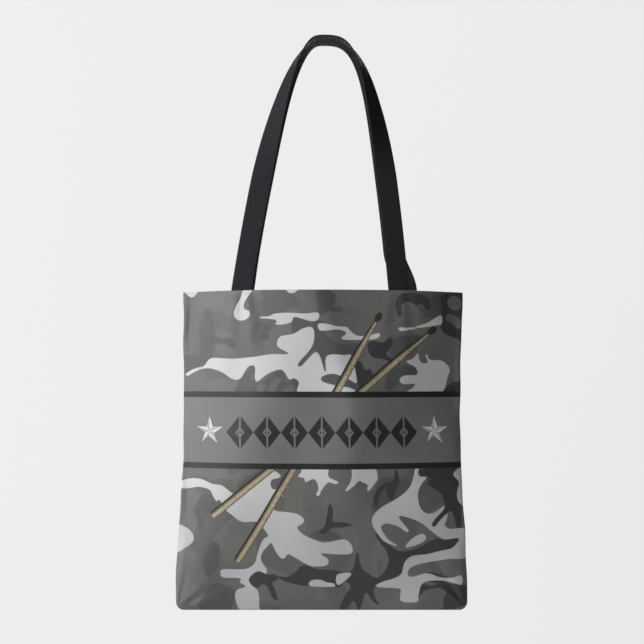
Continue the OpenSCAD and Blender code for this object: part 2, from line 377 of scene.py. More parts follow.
# Each outline is (across from the middle, down from the mouth), and is smoothed into a curve
LIGHT = [
    [(-97, -3), (-103, 10), (-109, 20), (-111, 29), (-106, 35), (-97, 35), (-91, 30), (-92, 24),
     (-98, 22), (-98, 15), (-92, 6), (-86, -3)],
    [(-80, 31), (-68, 31), (-60, 28), (-44, 27), (-22, 28), (-6, 27), (-6, 35), (-14, 37), (-26, 34),
     (-36, 32), (-39, 38), (-50, 41), (-60, 40), (-56, 36), (-68, 34), (-78, 33)],
    [(-173, 99), (-163, 93), (-149, 89), (-139, 80), (-113, 81), (-86, 79), (-65, 76), (-46, 76),
     (-41, 75), (-54, 68), (-56, 63), (-52, 55), (-36, 52), (-25, 46), (-14, 44), (-10, 51), (-11, 63),
     (-17, 73), (-30, 87), (-26, 90), (-9, 74), (-2, 80), (3, 97), (5, 97), (6, 78), (28, 77), (37, 79),
     (43, 109), (34, 106), (15, 99), (0, 102), (0, 108), (18, 113), (36, 116), (41, 124), (-26, 124),
     (-29, 109), (-36, 104), (-41, 106), (-48, 96), (-54, 94), (-68, 99), (-81, 108), (-84, 105),
     (-84, 91), (-88, 89), (-94, 92), (-103, 105), (-113, 105), (-121, 100), (-131, 95), (-145, 92),
     (-158, 95), (-170, 101)],
    [(-5, 40), (4, 40), (18, 43), (30, 44), (34, 48), (43, 54), (57, 54), (69, 51), (72, 54), (65, 58),
     (47, 59), (30, 59), (23, 57), (30, 51), (20, 47), (6, 48), (-3, 48), (-6, 44)],
    [(95, 44), (108, 44), (121, 41), (132, 37), (148, 28), (149, 39), (144, 40), (135, 42), (121, 44),
     (108, 47), (97, 48)],
    [(123, 68), (121, 78), (125, 86), (133, 85), (129, 76), (132, 76), (136, 82), (151, 83), (161, 92),
     (159, 101), (147, 124), (103, 124), (113, 116), (116, 111), (100, 111), (97, 105), (104, 101),
     (119, 100), (117, 91), (105, 85), (113, 81), (119, 75)],
    [(-172, -4), (-169, 4), (-163, 6), (-158, 2), (-156, -4)],
    [(-46, -4), (-44, 2), (-39, 4), (-33, 2), (-30, -4)],
    [(-176, 237), (-176, 229), (-162, 225), (-149, 226), (-136, 231), (-123, 233), (-110, 242),
     (-100, 243), (-82, 231), (-66, 219), (-60, 214), (-51, 220), (-54, 223), (-62, 225), (-63, 232),
     (-58, 237), (-47, 230), (-42, 234), (-52, 238), (-46, 246), (-56, 242), (-61, 253), (-58, 262),
     (-43, 264), (-30, 266), (-22, 272), (-23, 277), (-30, 282), (-27, 287), (-19, 293), (-1, 300),
     (9, 300), (27, 297), (36, 304), (36, 314), (20, 315), (-1, 314), (8, 321), (7, 328), (-6, 330),
     (-16, 328), (-32, 319), (-40, 315), (-46, 321), (-54, 314), (-66, 291), (-74, 281), (-79, 276),
     (-98, 276), (-110, 268), (-118, 262), (-126, 250), (-130, 252), (-135, 244), (-139, 238),
     (-152, 235), (-165, 237)],
    [(-178, 283), (-165, 285), (-157, 292), (-156, 300), (-163, 307), (-178, 314)],
    [(-63, 295), (-68, 295), (-73, 301), (-77, 314), (-80, 326), (-87, 332), (-96, 334), (-118, 334),
     (-121, 339), (-118, 344), (-97, 345), (-98, 350), (-90, 355), (-101, 359), (-104, 367), (-102, 377),
     (-100, 386), (-79, 386), (-75, 372), (-77, 359), (-83, 354), (-87, 347), (-83, 340), (-75, 336),
     (-66, 339), (-66, 333), (-71, 326), (-73, 319), (-70, 311), (-62, 301)],
    [(-22, 210), (6, 210), (8, 221), (20, 227), (17, 230), (8, 228), (0, 237), (-3, 244), (-7, 243),
     (-4, 235), (-7, 226), (-12, 224), (-20, 228), (-22, 223), (-30, 221), (-26, 216)],
    [(39, 210), (64, 210), (69, 223), (65, 230), (58, 239), (56, 236), (57, 231), (50, 228), (46, 226),
     (41, 231), (32, 238), (29, 237), (35, 228), (37, 220)],
    [(117, 210), (121, 210), (120, 221), (132, 223), (126, 228), (120, 238), (119, 249), (122, 261),
     (130, 267), (140, 265), (152, 257), (150, 263), (140, 272), (134, 280), (137, 283), (147, 273),
     (156, 266), (152, 276), (150, 282), (157, 286), (177, 288), (177, 319), (156, 322), (140, 324),
     (117, 328), (105, 334), (104, 342), (109, 343), (127, 339), (142, 344), (157, 345), (167, 342),
     (170, 348), (167, 354), (162, 352), (142, 348), (126, 349), (119, 354), (116, 367), (114, 374),
     (95, 373), (95, 359), (91, 357), (65, 355), (73, 349), (86, 345), (96, 339), (100, 326), (109, 318),
     (127, 316), (145, 312), (158, 309), (166, 301), (167, 297), (148, 298), (133, 288), (121, 278),
     (108, 272), (96, 269), (95, 273), (105, 286), (103, 289), (93, 282), (80, 278), (73, 280),
     (72, 285), (80, 297), (93, 306), (76, 300), (66, 288), (61, 278), (63, 268), (74, 258), (93, 248),
     (106, 238), (112, 228)],
    [(101, 307), (109, 297), (121, 291), (126, 294), (125, 299), (114, 305)],
    [(164, 220), (178, 214), (178, 256), (170, 254), (168, 243), (171, 230)],
    [(-11, 347), (2, 347), (4, 349), (15, 351), (14, 355), (-14, 354)],
    [(19, 340), (36, 338), (29, 347), (19, 353)],
]
DARK = [
    [(92, 26), (90, 16), (93, 7), (100, 3), (118, 3), (131, 8), (134, 20), (129, 22), (123, 15), (116, 17),
     (108, 13), (102, 13), (97, 18), (98, 28), (94, 31)],
    [(148, 4), (160, 1), (178, 1), (178, 54), (168, 55), (159, 52), (151, 48), (147, 38), (149, 26), (147, 14)],
    [(57, 63), (66, 60), (76, 62), (84, 56), (88, 60), (84, 70), (80, 76), (90, 82), (99, 88), (90, 88),
     (78, 82), (64, 80), (58, 73)],
    [(44, 84), (50, 87), (53, 95), (60, 93), (63, 101), (56, 106), (58, 114), (49, 117), (44, 106), (41, 93)],
    [(154, 123), (159, 113), (168, 109), (178, 107), (178, 123)],
    [(-87, 346), (-83, 342), (-75, 336), (-66, 340), (-55, 340), (-52, 346), (-59, 350), (-56, 358),
     (-53, 371), (-59, 369), (-64, 356), (-70, 352), (-78, 357), (-86, 353)],
    [(-56, 341), (-42, 343), (-31, 337), (-22, 328), (-6, 333), (12, 334), (28, 337), (38, 333), (43, 312),
     (50, 327), (58, 340), (71, 347), (64, 355), (63, 366), (69, 378), (61, 373), (54, 362), (49, 373),
     (46, 386), (38, 372), (30, 384), (22, 381), (28, 366), (35, 355), (28, 348), (20, 356), (0, 346),
     (-14, 347), (-16, 354), (-30, 352), (-44, 348)],
    [(8, 258), (11, 253), (14, 264), (13, 275), (24, 276), (38, 279), (26, 282), (12, 283), (4, 290),
     (-4, 288), (3, 281), (6, 270)],
    [(66, 259), (64, 248), (70, 236), (79, 229), (88, 226), (92, 212), (96, 226), (91, 240), (87, 251),
     (82, 246), (79, 236), (72, 242), (69, 252)],
    [(122, 214), (128, 225), (137, 224), (131, 231), (141, 238), (150, 246), (152, 258), (158, 262),
     (162, 270), (165, 285), (170, 291), (172, 264), (176, 242), (172, 230), (166, 220), (164, 212)],
    [(64, 290), (72, 294), (82, 304), (92, 311), (101, 312), (118, 308), (128, 302), (140, 297),
     (150, 300), (156, 297), (167, 298), (162, 307), (146, 314), (128, 318), (112, 318), (104, 322),
     (101, 334), (92, 344), (80, 350), (70, 352), (64, 348), (74, 338), (81, 325), (78, 311), (70, 300)],
    [(137, 284), (134, 279), (142, 271), (152, 257), (158, 263), (150, 272), (144, 282)],
    [(117, 352), (132, 354), (148, 352), (167, 354), (177, 356), (177, 372), (168, 381), (152, 386),
     (146, 372), (150, 362), (138, 357), (124, 360), (116, 368)],
    [(126, 338), (142, 341), (157, 345), (168, 341), (164, 345), (150, 351), (128, 349)],
]
# Lighter ovals that are left clear inside the dark shapes
CLEARED = [
    [(155, 10), (161, 4), (170, 6), (174, 14), (170, 21), (161, 21), (156, 16)],
    [(154, 28), (161, 26), (170, 30), (175, 36), (172, 44), (163, 39), (155, 34)],
    [(46, 307), (60, 302), (74, 308), (80, 322), (74, 336), (62, 340), (50, 334), (46, 322)],
]
SHADE = [
    [(-178, 78), (-165, 76), (-155, 75), (-152, 60), (-156, 52), (-154, 45), (-151, 35), (-148, 24),
     (-142, 20), (-138, 28), (-136, 45), (-130, 55), (-118, 57), (-107, 63), (-110, 67), (-122, 63),
     (-134, 64), (-138, 72), (-138, 80), (-142, 86), (-150, 89), (-160, 92), (-170, 99), (-178, 92)],
    [(-88, 60), (-88, 46), (-81, 38), (-71, 40), (-66, 46), (-71, 48), (-76, 43), (-82, 47), (-83, 60)],
    [(-76, 52), (-71, 50), (-66, 54), (-68, 59), (-75, 58)],
    [(-103, 105), (-96, 96), (-88, 89), (-83, 92), (-86, 100), (-90, 105), (-84, 106), (-82, 112),
     (-82, 123), (-108, 123), (-106, 112)],
    [(-81, 111), (-70, 105), (-62, 99), (-52, 94), (-47, 98), (-47, 107), (-42, 109), (-35, 104),
     (-29, 108), (-26, 123), (-33, 123), (-36, 113), (-43, 113), (-49, 118), (-53, 123), (-59, 121),
     (-54, 111), (-50, 105), (-57, 104), (-64, 110), (-70, 122), (-74, 121), (-70, 111)],
    [(-38, 34), (-31, 31), (-22, 36), (-13, 39), (-5, 36), (2, 40), (-4, 46), (4, 52), (16, 62), (30, 65),
     (44, 64), (40, 76), (24, 78), (8, 78), (5, 97), (2, 95), (-1, 82), (-8, 71), (-20, 82), (-27, 91),
     (-31, 87), (-20, 76), (-11, 66), (-10, 54), (-12, 45), (-18, 42), (-30, 52), (-37, 50), (-38, 42)],
    [(-8, 2), (6, 0), (16, 8), (12, 20), (22, 21), (20, 26), (6, 25), (-4, 30), (-7, 18)],
    [(5, 101), (20, 99), (36, 104), (47, 110), (50, 120), (34, 116), (14, 112), (2, 107)],
    [(132, 8), (146, 4), (150, 12), (148, 28), (138, 34), (128, 30), (124, 22), (133, 20)],
    [(88, 60), (100, 55), (118, 52), (124, 58), (116, 66), (104, 72), (92, 79), (84, 74)],
    [(78, 114), (84, 95), (92, 91), (104, 89), (116, 92), (119, 98), (108, 101), (98, 104), (94, 112),
     (86, 119)],
    [(-158, 263), (-149, 247), (-138, 243), (-133, 252), (-127, 246), (-121, 256), (-128, 263),
     (-140, 267), (-145, 277), (-147, 290), (-152, 277), (-156, 268)],
    [(-140, 318), (-133, 302), (-125, 304), (-122, 321), (-127, 336), (-136, 343), (-141, 332)],
    [(-128, 352), (-112, 356), (-104, 361), (-108, 378), (-120, 386), (-150, 386), (-146, 374), (-138, 362)],
    [(70, 229), (80, 222), (95, 225), (107, 227), (111, 236), (100, 246), (86, 256), (72, 262), (62, 262),
     (65, 245)],
    [(-12, 290), (0, 285), (14, 288), (24, 296), (8, 298), (-4, 296)],
    [(-80, 214), (-70, 214), (-80, 224), (-96, 236), (-104, 239), (-100, 228)],
]
# Two crossed drumsticks: (tip, butt)
STICKS = [((72, 27), (-102, 325)), ((142, 43), (-135, 270))]
BAND_TOP, BAND_LOW, STRIPE_H = 120.0, 212.5, 7.0
STAR_X, STAR_DROP = 141.3, 167.6
STAR_R = 18.0


def smooth_outline(points, steps=5):
    """A closed Catmull-Rom curve through the points."""
    p = np.array(points, float)
    t = (np.arange(steps) / steps)[:, None, None]
    a, b, c, d = np.roll(p, 1, 0), p, np.roll(p, -1, 0), np.roll(p, -2, 0)
    squared, cubed = 2 * a - 5 * b + 4 * c - d, 3 * b - a - 3 * c + d
    curve = b + (c - a) * t / 2 + squared * t ** 2 / 2 + cubed * t ** 3 / 2
    return curve.transpose(1, 0, 2).reshape(-1, 2)


def inside_by(places, outline):
    """Distance in mm from each place to the outline, positive inside it."""
    a, b = outline, np.roll(outline, -1, 0)
    edge = b - a
    best = np.full(len(places), 1e9)
    odd = np.zeros(len(places), bool)
    for start, run, end in zip(a, edge, b):
        rel = places - start
        k = np.clip(rel @ run / max(run @ run, 1e-9), 0, 1)
        best = np.minimum(best, ((rel - k[:, None] * run) ** 2).sum(1))
        crosses = (start[1] > places[:, 1]) != (end[1] > places[:, 1])
        if run[1] != 0:
            odd ^= crosses & (places[:, 0] < start[0] + (places[:, 1] - start[1]) * run[0] / run[1])
    return np.where(odd, 1, -1) * np.sqrt(best)


def printed_edge(cloth_mm, outlines):
    """Distance into the nearest of the outlines, for every vertex of a panel."""
    value = np.full(len(cloth_mm), -12.0)
    for points in outlines:
        outline = smooth_outline(points)
        near = ((cloth_mm > outline.min(0) - 12) & (cloth_mm < outline.max(0) + 12)).all(1)
        value[near] = np.maximum(value[near], inside_by(cloth_mm[near], outline))
    return np.clip(value, -12, 12)


# ---------------------------------------------------------------- materials


class Net:
    """Shader nodes, wired by calls that read like sums."""

    def __init__(self, name):
        self.material = bpy.data.materials.new(name)
        self.material.use_nodes = True
        self.nodes = self.material.node_tree.nodes
        self.links = self.material.node_tree.links
        self.shader = self.nodes["Principled BSDF"]

    def feed(self, socket, value):
        if isinstance(value, bpy.types.NodeSocket):
            self.links.new(value, socket)
        else:
            socket.default_value = value

    def node(self, kind, *values, **settings):
        """A node of a kind with its settings, and with its first inputs fed."""
        node = self.nodes.new("ShaderNode" + kind)
        for key, setting in settings.items():
            setattr(node, key, setting)
        for socket, value in zip(node.inputs, values):
            self.feed(socket, value)
        return node

    def math(self, operation, *values, clamp=False):
        return self.node("Math", *values, operation=operation, use_clamp=clamp).outputs[0]

    def step(self, value, low, high):
        """0 under low and 1 over high, with a smooth ramp between."""
        return self.node("MapRange", value, low, high, interpolation_type="SMOOTHSTEP").outputs["Result"]

    def mix(self, share, a, b):
        node = self.node("Mix", share, data_type="RGBA")
        self.feed(node.inputs[6], a)
        self.feed(node.inputs[7], b)
        return node.outputs[2]

    def scale(self, colour, factor):
        vector = colour if isinstance(colour, bpy.types.NodeSocket) else colour[:3]
        node = self.node("VectorMath", vector, operation="SCALE")
        self.feed(node.inputs["Scale"], factor)
        return node.outputs[0]

    def attribute(self, name):
        return self.node("Attribute", attribute_name=name).outputs["Fac"]

    def cloth_mm(self, name="cloth"):
        """Place on the flat cloth in mm, across and down."""
        place = self.node("UVMap", uv_map=name).outputs[0]
        return self.node("SeparateXYZ", self.scale(place, 1000.0)).outputs[:2]

    def combine(self, x, y, z=0.0):
        return self.node("CombineXYZ", x, y, z).outputs[0]

    def plus(self, a, b):
        return self.math("ADD", a, b)

    def minus(self, a, b):
        return self.math("SUBTRACT", a, b)

    def times(self, a, b):
        return self.math("MULTIPLY", a, b)

    def round_off(self, share):
        """Half width of a circle, at a share of its radius from the middle."""
        return self.math("SQRT", self.math("MAXIMUM", self.minus(1.0, self.math("POWER", share, 2.0)), 0.0))

    def noise(self, vector, size, detail=2.0, warp=0.0):
        node = self.node("TexNoise", vector)
        node.inputs["Scale"].default_value = size
        node.inputs["Detail"].default_value = detail
        node.inputs["Distortion"].default_value = warp
        return node.outputs["Fac"]

    def bump(self, height, strength, distance):
        node = self.node("Bump")
        node.inputs["Strength"].default_value = strength
        node.inputs["Distance"].default_value = distance
        self.feed(node.inputs["Height"], height)
        self.links.new(node.outputs[0], self.shader.inputs["Normal"])

    def finish(self, colour, roughness, sheen=0.0, sheen_roughness=0.5, specular=0.3):
        self.feed(self.shader.inputs["Base Color"], colour)
        self.feed(self.shader.inputs["Roughness"], roughness)
        self.shader.inputs["Specular IOR Level"].default_value = specular
        self.shader.inputs["Sheen Weight"].default_value = sheen
        self.shader.inputs["Sheen Roughness"].default_value = sheen_roughness
        return self.material


def grey(level, warm=0.0):
    return (level * (1 + warm), level, level * (1 - warm), 1)


def weave_height(net, across_mm, down_mm):
    """Height of a plain weave: threads across and down that pass over and under each other."""
    turn = math.pi / THREAD_PITCH
    warp = net.math("ABSOLUTE", net.math("SINE", net.times(across_mm, turn)))
    weft = net.math("ABSOLUTE", net.math("SINE", net.times(down_mm, turn)))
    over = net.math("SINE", net.times(net.plus(across_mm, down_mm), turn))
    return net.plus(net.times(warp, weft), net.times(over, 0.25))


def stick_layers(net, x, y, tip, butt):
    """Cover and colour of one printed drumstick between its tip and its butt."""
    run = Vector(butt) - Vector(tip)
    length = run.length
    ux, uy = run / length
    rx, ry = net.minus(x, tip[0]), net.minus(y, tip[1])
    along = net.plus(net.times(rx, ux), net.times(ry, uy))
    side = net.minus(net.times(rx, uy), net.times(ry, ux))
    body = net.plus(2.4, net.times(net.step(along, 8.0, 66.0), 2.6))
    bead = net.times(net.round_off(net.math("DIVIDE", net.minus(along, 6.0), 6.2)), 4.1)
    round_end = net.round_off(net.math("DIVIDE", net.minus(along, length - 4.0), 4.0, clamp=True))
    shaft = net.times(net.times(body, round_end), net.step(along, 6.0, 8.0))
    half = net.math("MAXIMUM", shaft, bead)
    across = net.math("DIVIDE", side, net.math("MAXIMUM", half, 0.01))
    cover = net.minus(1.0, net.step(net.math("ABSOLUTE", across), 0.92, 1.08))
    cover = net.times(cover, net.math("GREATER_THAN", half, 0.3))
    grain = net.noise(net.combine(net.times(along, 0.35), net.times(side, 1.5)), 1.0, 3.0)
    lit = net.minus(1.0, net.step(net.math("ABSOLUTE", net.minus(across, 0.22)), 0.10, 0.95))
    lit = net.times(lit, net.plus(0.38, net.times(net.step(grain, 0.38, 0.60), 0.62)))
    # Bare wood with a dark edge and grain, and a tip that is nearly black with a glint
    wood = net.mix(lit, (0.022, 0.015, 0.009, 1), (0.60, 0.51, 0.34, 1))
    glint = net.times(net.step(grain, 0.50, 0.62), 0.5)
    tip_colour = net.mix(glint, (0.014, 0.009, 0.007, 1), (0.20, 0.12, 0.05, 1))
    colour = net.mix(net.step(along, 10.5, 15.0), tip_colour, wood)
    return cover, colour


def star_layers(net, x, y):
    """Cover and shade of the pair of five-pointed stars, which look bevelled."""
    left = net.math("LESS_THAN", x, 0.0)
    centre = net.minus(STAR_X, net.times(left, 2 * STAR_X))
    dx, dy = net.minus(x, centre), net.minus(y, STAR_DROP)
    angle = net.math("ARCTAN2", dx, net.times(dy, -1.0))
    squares = [net.math("POWER", net.math("ABSOLUTE", d), 2.0) for d in (dx, dy)]
    radius = net.math("SQRT", net.plus(*squares))
    wedge = 2 * math.pi / 5
    turned = net.math("WRAP", angle, wedge / 2, -wedge / 2)
    px = net.times(radius, net.math("COSINE", turned))
    py = net.times(radius, net.math("SINE", turned))
    inner = STAR_R * 0.36
    ix, iy = inner * math.cos(wedge / 2), inner * math.sin(wedge / 2)
    nx, ny = iy, STAR_R - ix
    size = math.hypot(nx, ny)
    slant = net.plus(net.times(px, nx), net.times(net.math("ABSOLUTE", py), ny))
    edge = net.minus(net.math("DIVIDE", slant, size), STAR_R * nx / size)
    cover = net.step(edge, 0.25, -0.25)
    outline = net.step(edge, 1.4, 0.2)
    facet = net.math("GREATER_THAN", py, 0.0)
    tilt = net.math("COSINE", net.minus(angle, 0.6))
    bevel = net.step(edge, -1.6, -0.4)
    shade = net.plus(0.50, net.times(net.minus(facet, 0.5), 0.26))
    shade = net.plus(shade, net.times(net.times(bevel, tilt), 0.20))
    return cover, outline, shade


def ornament(net, x, y):
    """A row of seven stencilled lozenges, each cut by bridges, where a badge's wording would be."""
    pitch, half_h, half_w = 34.2, 20.5, 17.0
    local = net.math("WRAP", x, pitch / 2, -pitch / 2)
    ax = net.math("ABSOLUTE", local)
    ay = net.math("ABSOLUTE", net.minus(y, STAR_DROP + 1.0))
    lozenge = net.plus(net.math("DIVIDE", ax, half_w), net.math("DIVIDE", ay, half_h))
    body = net.step(lozenge, 1.02, 0.98)
    ring = net.times(net.step(lozenge, 0.32, 0.36), body)
    heart = net.step(lozenge, 0.20, 0.16)
    shape = net.math("MAXIMUM", ring, heart)
    bridge = net.step(ax, 0.9, 1.3)
    row = net.step(net.math("ABSOLUTE", x), pitch * 3.5, pitch * 3.5 - 0.4)
    return net.times(net.times(shape, bridge), row)


# Pitches of the weave in mm: the printed cloth's ribs and threads, and the webbing's threads
RIB_PITCH, THREAD_PITCH = 3.12, 0.9
WARP_PITCH, WEFT_PITCH = 1.7, 1.5


def printed_cloth(name, seed):
    """The camouflage with its sticks, band, stars and ornament, on ribbed cloth."""
    net = Net(name)
    x, y = net.cloth_mm()
    place = net.combine(x, y, seed)
    # Ground, its faint broad blotches, and the three printed tones of the camouflage; the light tone is made
    # darker below the band as painted shade
    broad = net.noise(net.combine(x, y, 3.0), 0.013, 1.5, 0.9)
    second = net.noise(net.combine(x, y, 41.0), 0.017, 1.5, 1.1)
    ground = net.mix(net.step(second, 0.5, 0.52), (0.142, 0.143, 0.134, 1), (0.130, 0.130, 0.124, 1))
    ground = net.mix(net.step(broad, 0.56, 0.58), ground, (0.112, 0.112, 0.110, 1))
    ground = net.mix(net.step(net.attribute("shade_edge"), -2.6, 1.8), ground, (0.085, 0.085, 0.090, 1))
    ground = net.mix(net.step(net.attribute("dark_edge"), -0.6, 0.4), ground, (0.040, 0.040, 0.045, 1))
    # Painted shade: the light tone goes from 0.60 above the band to 0.50 towards the bottom of the bag
    pale = net.mix(net.step(y, 215.0, 300.0), (0.60, 0.60, 0.605, 1), (0.50, 0.50, 0.515, 1))
    camo = net.mix(net.step(net.attribute("light_edge"), -0.3, 0.3), ground, pale)
    # Drumsticks on the camouflage, the second over the first
    for tip, butt in STICKS:
        cover, colour = stick_layers(net, x, y, tip, butt)
        camo = net.mix(cover, camo, colour)
    # The plain band with its two stripes, the ornament and the stars
    plain = (0.165, 0.165, 0.160, 1)
    star, outline, shade = star_layers(net, x, y)
    band = net.mix(ornament(net, x, y), plain, grey(0.010))
    band = net.mix(net.times(outline, 0.35), band, grey(0.03))
    band = net.mix(star, band, net.combine(shade, shade, net.times(shade, 1.03)))
    stripe = net.math("MAXIMUM", net.step(y, BAND_TOP + STRIPE_H + 0.25, BAND_TOP + STRIPE_H - 0.25),
                      net.step(y, BAND_LOW - STRIPE_H - 0.25, BAND_LOW - STRIPE_H + 0.25))
    band = net.mix(stripe, band, grey(0.005))
    below_top = net.step(y, BAND_TOP - 0.25, BAND_TOP + 0.25)
    inside = net.times(below_top, net.step(y, BAND_LOW + 0.25, BAND_LOW - 0.25))
    colour = net.mix(inside, camo, band)
    # Thread by thread: faint ribs down the cloth and uneven dye, with painted shade that darkens the cloth
    # where its ribs and threads dip
    rib = net.math("SINE", net.times(x, 2 * math.pi / RIB_PITCH))
    wear = net.noise(place, 0.9, 3.0)
    level = net.plus(0.94, net.plus(net.times(rib, 0.045), net.times(wear, 0.12)))
    weave = weave_height(net, x, y)
    level = net.times(level, net.plus(0.93, net.times(weave, 0.10)))
    net.bump(net.plus(weave, net.times(rib, 0.2)), 0.35, 0.0003)
    return net.finish(net.scale(colour, level), 0.42, sheen=0.02, sheen_roughness=0.5, specular=0.5)


def plain_cloth(net, colour, mottle_size, base, uneven, sheen):
    """Unprinted cloth, uneven from thread to thread as painted shade where the weave dips, and uneven in soft
    patches.
    """
    x, y = net.cloth_mm()
    weave = weave_height(net, x, y)
    mottle = net.noise(net.combine(x, y, 5.0), mottle_size, 3.0)
    level = net.plus(base, net.plus(net.times(weave, uneven), net.times(mottle, uneven)))
    net.bump(weave, 0.4, 0.0003)
    return net.finish(net.scale(colour, level), 0.85, sheen=sheen)


def lining_cloth():
    """The unprinted inside of the panels, with the print faintly through it."""
    net = Net("lining_cloth")
    through = net.step(net.attribute("light_edge"), -2.0, 2.0)
    return plain_cloth(net, net.mix(through, grey(0.52, 0.01), grey(0.66, 0.01)), 0.05, 0.86, 0.1, 0.2)


def seam_cloth():
    """The wrong side of the cloth, at its raw edges."""
    return plain_cloth(Net("seam_cloth"), grey(0.56, 0.01), 0.2, 0.8, 0.15, 0.1)


def webbing_material():
    """Ribbed webbing: rows of weft crossed by columns of warp."""
    net = Net("webbing")
    x, y = net.cloth_mm("web")
    across, down = net.times(x, 2 * math.pi / WARP_PITCH), net.times(y, math.pi / WEFT_PITCH)
    row = net.math("ABSOLUTE", net.math("SINE", down))
    column = net.math("SINE", across)
    twill = net.math("SINE", net.plus(across, down))
    height = net.plus(row, net.times(net.times(column, twill), 0.35))
    fluff = net.noise(net.combine(x, y, 9.0), 1.1, 4.0)
    # Painted shade: the webbing is darker where its weave dips, and unevenly toned by random fluff as well
    level = net.plus(0.40, net.plus(net.times(height, 0.45), net.times(fluff, 0.40)))
    net.bump(height, 0.8, 0.0006)
    return net.finish(net.scale((0.024, 0.024, 0.030, 1), level), 0.6, sheen_roughness=0.4, specular=0.2)


def thread_material(name, colour):
    """Spun thread, uneven from ply to ply."""
    net = Net(name)
    ply = net.noise(net.node("TexCoord").outputs["Object"], 2600.0, 2.0)
    level = net.plus(0.75, net.times(ply, 0.5))
    net.bump(ply, 0.5, 0.0001)
    return net.finish(net.scale(colour, level), 0.6, sheen=0.3)


PRINT_FRONT = printed_cloth("printed_front", 1.0)
PRINT_BACK = printed_cloth("printed_back", 9.0)
LINING = lining_cloth()
WEBBING = webbing_material()
THREAD = thread_material("stitch_thread", (0.10, 0.10, 0.105, 1))
OVERLOCK = thread_material("overlock_thread", (0.62, 0.62, 0.60, 1))

# ---------------------------------------------------------------- panels


def make_panel(word, facing, material):
    """A panel with its hem turned in, as one sheet. The print is outside and the lining inside."""
    points, cloth = panel_grid(facing)
    rows, cols = points.shape[:2]
    faces = grid_faces(rows, cols, flip=facing > 0)
    panel = make_object(f"{word}_panel_cloth", points.reshape(-1, 3), faces, [material, LINING])
    flat = cloth.reshape(-1, 2)
    printed = flat * [-facing, 1] * 1000
    set_uv(panel.data, "cloth", printed / 1000)
    set_floats(panel.data, "light_edge", printed_edge(printed, LIGHT))
    dark = np.minimum(printed_edge(printed, DARK), -printed_edge(printed, CLEARED))
    set_floats(panel.data, "dark_edge", dark)
    set_floats(panel.data, "shade_edge", printed_edge(printed, SHADE))
    thick = panel.modifiers.new("thickness", "SOLIDIFY")
    thick.thickness = CLOTH_T
    thick.offset = 0
    thick.material_offset = 1
    bend_with_panel(panel)
    return panel


front_panel = make_panel("front", -1, PRINT_FRONT)
back_panel = make_panel("back", 1, PRINT_BACK)
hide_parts("front_panel", "front_hem")
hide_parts("back_panel", "back_hem")

# ---------------------------------------------------------------- handles

LEFT_LEG_POWER, RIGHT_LEG_POWER, RING_POWER = 0.5, 0.285, 0.6
RISE = -MOUTH_Z
WEB_INSET = 1.8 * MM
HOOK_HALF_GAP = WEB_W / 2 + 0.6 * MM
FOOT_DROP = 255 * MM
HALF_STEPS, END_STEPS = 110, 12


def feet(word):
    """Where the two sewn ends of a handle stand across the bag."""
    return [sum(v.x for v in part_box(f"{word}_{side}_handle_end")) / 2 for side in ("left", "right")]


front_left, front_right = feet("front")
FRONT_SHIFT, LEG_X = (front_left + front_right) / 2, (front_right - front_left) / 2


